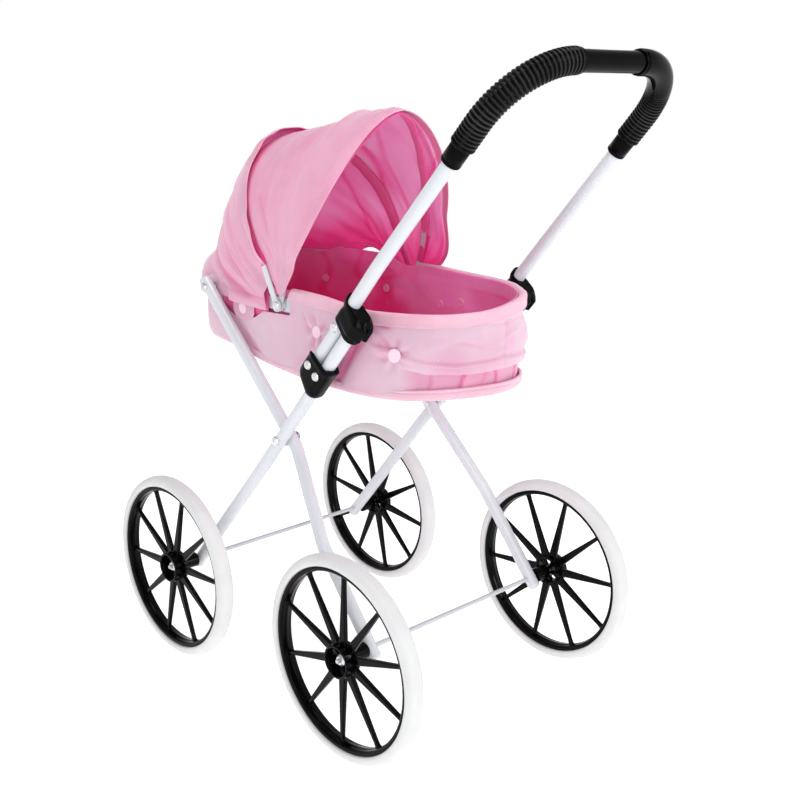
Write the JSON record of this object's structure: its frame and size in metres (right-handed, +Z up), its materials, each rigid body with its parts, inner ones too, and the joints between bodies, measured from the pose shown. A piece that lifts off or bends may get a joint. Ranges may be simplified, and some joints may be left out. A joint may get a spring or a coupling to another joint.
{
  "type": "doll stroller",
  "caption": "Doll pram: fabric carry body with folding hood on a white scissor tube frame, large spoked wheels, and a U-shaped push handle with ribbed black grip and sliding locks.",
  "frame": {"origin": "on the floor, under the middle of the box around the whole pram", "axes": "+X to the hood end, +Y to the left, +Z up"},
  "size_m": [0.5985, 0.3474, 0.702],
  "materials": {
    "white_paint": "gloss powder coat",
    "black_plastic": "satin moulded plastic",
    "tyre_white": "soft foam rubber",
    "steel": "zinc plated",
    "pink_fabric": "plain weave polyester",
    "lining_fabric": "plain weave polyester",
    "stud_plastic": "moulded",
    "board": "hardboard"
  },
  "bodies": {
    "basket": {"basket_hoop": "white_paint", "basket_liner": "lining_fabric", "base_board": "board", "basket_skirt": "pink_fabric", "basket_hem": "pink_fabric", "leg_pins": "steel", "press_studs": "stud_plastic", "hood_pins": "steel", "hood_rear_panel": "pink_fabric", "hood_tabs": "pink_fabric"},
    "hood_mid": {"hood_mid_bow": "white_paint", "hood_mid_panel": "pink_fabric"},
    "hood_front": {"hood_front_bow": "white_paint", "hood_front_panel": "pink_fabric"},
    "inner_legs": {"leg_a_left": "white_paint", "leg_a_right": "white_paint", "axle_rear": "white_paint", "axle_clips_rear": "steel", "scissor_rivets": "steel", "scissor_washers": "white_paint"},
    "outer_legs": {"leg_b_left": "white_paint", "leg_b_right": "white_paint", "axle_front": "white_paint", "axle_clips_front": "steel", "handle_bracket_left": "black_plastic", "handle_bracket_right": "black_plastic", "bracket_rivets": "steel"},
    "handle": {"handle_tube": "white_paint", "grip_left": "black_plastic", "grip_right": "black_plastic", "grip_bar": "black_plastic", "collar_left": "black_plastic", "collar_right": "black_plastic", "handle_pins": "steel"},
    "left_lock": {"lock_left": "black_plastic"},
    "right_lock": {"lock_right": "black_plastic"},
    "front_left_wheel": {"wheel_front_left": "black_plastic", "tyre_front_left": "tyre_white"},
    "front_right_wheel": {"wheel_front_right": "black_plastic", "tyre_front_right": "tyre_white"},
    "rear_left_wheel": {"wheel_rear_left": "black_plastic", "tyre_rear_left": "tyre_white"},
    "rear_right_wheel": {"wheel_rear_right": "black_plastic", "tyre_rear_right": "tyre_white"}
  },
  "joints": [
    {"name": "inner_legs_swing", "type": "hinge", "parent": "basket", "child": "inner_legs", "pos_m": [0.18065, 0, 0.442], "axis": [0, 1, 0], "range_deg": [0, 19.2]},
    {"name": "frame_fold", "type": "hinge", "parent": "inner_legs", "child": "outer_legs", "pos_m": [0.03185, 0, 0.2965], "axis": [0, -1, 0], "range_deg": [0, 52]},
    {"name": "handle_fold", "type": "hinge", "parent": "outer_legs", "child": "handle", "pos_m": [-0.03, 0, 0.39345], "axis": [0, 1, 0], "range_deg": [0, 123.8]},
    {"name": "left_lock_slide", "type": "slide", "parent": "handle", "child": "left_lock", "axis": [-0.6455, 0, 0.7638], "range_m": [0, 0.028]},
    {"name": "right_lock_slide", "type": "slide", "parent": "handle", "child": "right_lock", "axis": [-0.6455, 0, 0.7638], "range_m": [0, 0.028]},
    {"name": "hood_fold", "type": "hinge", "parent": "basket", "child": "hood_mid", "pos_m": [0.05665, 0, 0.438], "axis": [0, 1, 0], "range_deg": [0, 35]},
    {"name": "hood_front_fold", "type": "hinge", "parent": "hood_mid", "child": "hood_front", "pos_m": [0.05665, 0, 0.438], "axis": [0, 1, 0], "range_deg": [0, 35.2]},
    {"name": "front_left_spin", "type": "hinge", "parent": "outer_legs", "child": "front_left_wheel", "pos_m": [0.18925, 0.1627, 0.11], "axis": [0, 1, 0], "continuous": true},
    {"name": "front_right_spin", "type": "hinge", "parent": "outer_legs", "child": "front_right_wheel", "pos_m": [0.18925, -0.1627, 0.11], "axis": [0, 1, 0], "continuous": true},
    {"name": "rear_left_spin", "type": "hinge", "parent": "inner_legs", "child": "rear_left_wheel", "pos_m": [-0.11995, 0.1627, 0.11], "axis": [0, 1, 0], "continuous": true},
    {"name": "rear_right_spin", "type": "hinge", "parent": "inner_legs", "child": "rear_right_wheel", "pos_m": [-0.11995, -0.1627, 0.11], "axis": [0, 1, 0], "continuous": true}
  ],
  "couplings": [
    {"joint": "inner_legs_swing", "follows": "frame_fold", "ratio": 0.3663},
    {"joint": "handle_fold", "follows": "frame_fold", "ratio": 2.3758},
    {"joint": "hood_front_fold", "follows": "hood_fold", "ratio": 1}
  ]
}
